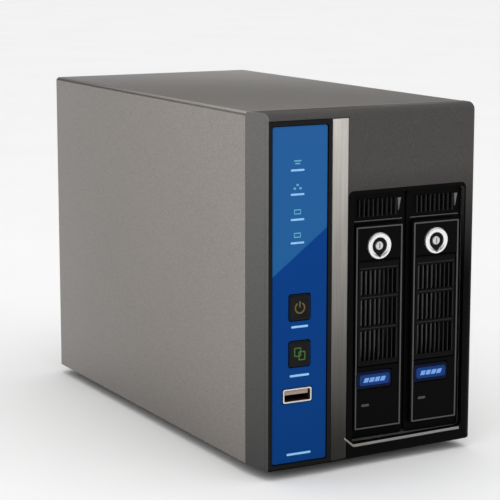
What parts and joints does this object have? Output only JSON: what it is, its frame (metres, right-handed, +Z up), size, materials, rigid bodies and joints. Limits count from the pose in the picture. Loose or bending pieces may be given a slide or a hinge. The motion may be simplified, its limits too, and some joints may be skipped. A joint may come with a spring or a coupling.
{
  "type": "network attached storage",
  "caption": "Upright desktop storage box with two lockable drive trays, a blue indicator panel with two buttons and a port at the front, and a fan and sockets at the rear.",
  "frame": {"origin": "centre of the footprint on the surface it stands on", "axes": "+Z up, -Y is the front with the drive bays, +Y is the rear with the sockets, +X is the right side seen from the front"},
  "size_m": [0.105, 0.218, 0.149],
  "materials": {
    "cover_paint": "satin metallic grey paint",
    "rear_paint": "satin dark paint on steel",
    "zinc_steel": "zinc-plated sheet",
    "rubber": "matte",
    "bezel_plastic": "metallic-effect dark grey, semi-gloss",
    "gloss_black": "gloss",
    "tray_plastic": "satin black",
    "lens_blue": "gloss translucent blue",
    "tab_blue": "gloss blue",
    "silver_trim": "satin silver",
    "clear_plastic": "clear light guide",
    "circuit_board": "green solder mask",
    "port_steel": "nickel-plated",
    "white_plastic": "satin white",
    "socket_red": "satin red",
    "terminal_green": "satin pale green",
    "matte_black": "matte black",
    "fan_plastic": "matte dark grey",
    "screw_steel": "nickel-plated",
    "black_screw": "black zinc",
    "lock_metal": "bright plated",
    "drive_metal": "cast aluminium",
    "aluminium": "extruded"
  },
  "bodies": {
    "case": {"cover": "cover_paint", "base_pan": "zinc_steel", "rear_panel": "rear_paint", "front_bezel": "bezel_plastic", "trim_strip": "silver_trim", "panel_frame": "gloss_black", "panel_lens": "lens_blue", "front_usb_shell": "port_steel", "front_usb_tongue": "white_plastic", "light_guide": "clear_plastic", "front_board": "circuit_board", "cover_screw_1": "black_screw", "cover_screw_2": "black_screw", "rear_top_plate": "rear_paint", "top_plate_screw_1": "screw_steel", "top_plate_screw_2": "screw_steel", "slot_blank": "matte_black", "lan_usb_shell": "port_steel", "rear_usb_tongue_1": "gloss_black", "rear_usb_tongue_2": "gloss_black", "esata_socket_1": "socket_red", "esata_socket_2": "socket_red", "terminal_block": "terminal_green", "dc_inlet": "matte_black", "fan_frame": "matte_black", "cage_side_left": "zinc_steel", "cage_side_right": "zinc_steel", "cage_roof": "zinc_steel", "cage_floor": "zinc_steel", "backplane": "circuit_board", "sata_connector_1": "matte_black", "sata_connector_2": "matte_black", "mainboard": "circuit_board", "heatsink": "aluminium", "foot_1": "rubber", "fan_screw_1": "screw_steel", "foot_2": "rubber", "fan_screw_2": "screw_steel", "foot_3": "rubber", "fan_screw_3": "screw_steel", "foot_4": "rubber", "fan_screw_4": "screw_steel"},
    "tray_1": {"tray_sled_1": "zinc_steel", "tray_face_1": "tray_plastic", "drive_1": "drive_metal", "drive_board_1": "circuit_board"},
    "lever_1": {"tray_lever_1": "gloss_black"},
    "tab_1": {"release_tab_1": "tab_blue"},
    "lock_1": {"lock_cylinder_1": "lock_metal"},
    "tray_2": {"tray_sled_2": "zinc_steel", "tray_face_2": "tray_plastic", "drive_2": "drive_metal", "drive_board_2": "circuit_board"},
    "lever_2": {"tray_lever_2": "gloss_black"},
    "tab_2": {"release_tab_2": "tab_blue"},
    "lock_2": {"lock_cylinder_2": "lock_metal"},
    "power_button": {"power_button": "gloss_black"},
    "copy_button": {"copy_button": "gloss_black"},
    "reset_button": {"reset_button": "matte_black"},
    "fan": {"fan_rotor": "fan_plastic"}
  },
  "joints": [
    {"name": "power_press", "type": "slide", "parent": "case", "child": "power_button", "axis": [0, 1, 0], "range_m": [0, 0.0008], "stiffness_N_per_m": 900, "springref_m": -0.0004},
    {"name": "copy_press", "type": "slide", "parent": "case", "child": "copy_button", "axis": [0, 1, 0], "range_m": [0, 0.0008], "stiffness_N_per_m": 900, "springref_m": -0.0004},
    {"name": "reset_press", "type": "slide", "parent": "case", "child": "reset_button", "axis": [0, -1, 0], "range_m": [0, 0.0004], "stiffness_N_per_m": 600, "springref_m": -0.0003},
    {"name": "fan_spin", "type": "hinge", "parent": "case", "child": "fan", "pos_m": [0.0055, 0.0938, 0.0415], "axis": [0, 1, 0], "continuous": true},
    {"name": "tray_1_slide", "type": "slide", "parent": "case", "child": "tray_1", "axis": [0, -1, 0], "range_m": [0, 0.165]},
    {"name": "lever_1_swing", "type": "hinge", "parent": "tray_1", "child": "lever_1", "pos_m": [0.00465, -0.1033, 0.0849], "axis": [-1, 0, 0], "range_deg": [0, 65]},
    {"name": "tab_1_press", "type": "slide", "parent": "tray_1", "child": "tab_1", "axis": [0, 1, 0], "range_m": [0, 0.001], "stiffness_N_per_m": 500, "springref_m": -0.0005},
    {"name": "lock_1_turn", "type": "hinge", "parent": "tray_1", "child": "lock_1", "pos_m": [0.00465, -0.105, 0.092], "axis": [0, 1, 0], "range_deg": [0, 90]},
    {"name": "tray_2_slide", "type": "slide", "parent": "case", "child": "tray_2", "axis": [0, -1, 0], "range_m": [0, 0.165]},
    {"name": "lever_2_swing", "type": "hinge", "parent": "tray_2", "child": "lever_2", "pos_m": [0.03265, -0.1033, 0.0849], "axis": [-1, 0, 0], "range_deg": [0, 65]},
    {"name": "tab_2_press", "type": "slide", "parent": "tray_2", "child": "tab_2", "axis": [0, 1, 0], "range_m": [0, 0.001], "stiffness_N_per_m": 500, "springref_m": -0.0005},
    {"name": "lock_2_turn", "type": "hinge", "parent": "tray_2", "child": "lock_2", "pos_m": [0.03265, -0.105, 0.092], "axis": [0, 1, 0], "range_deg": [0, 90]}
  ]
}
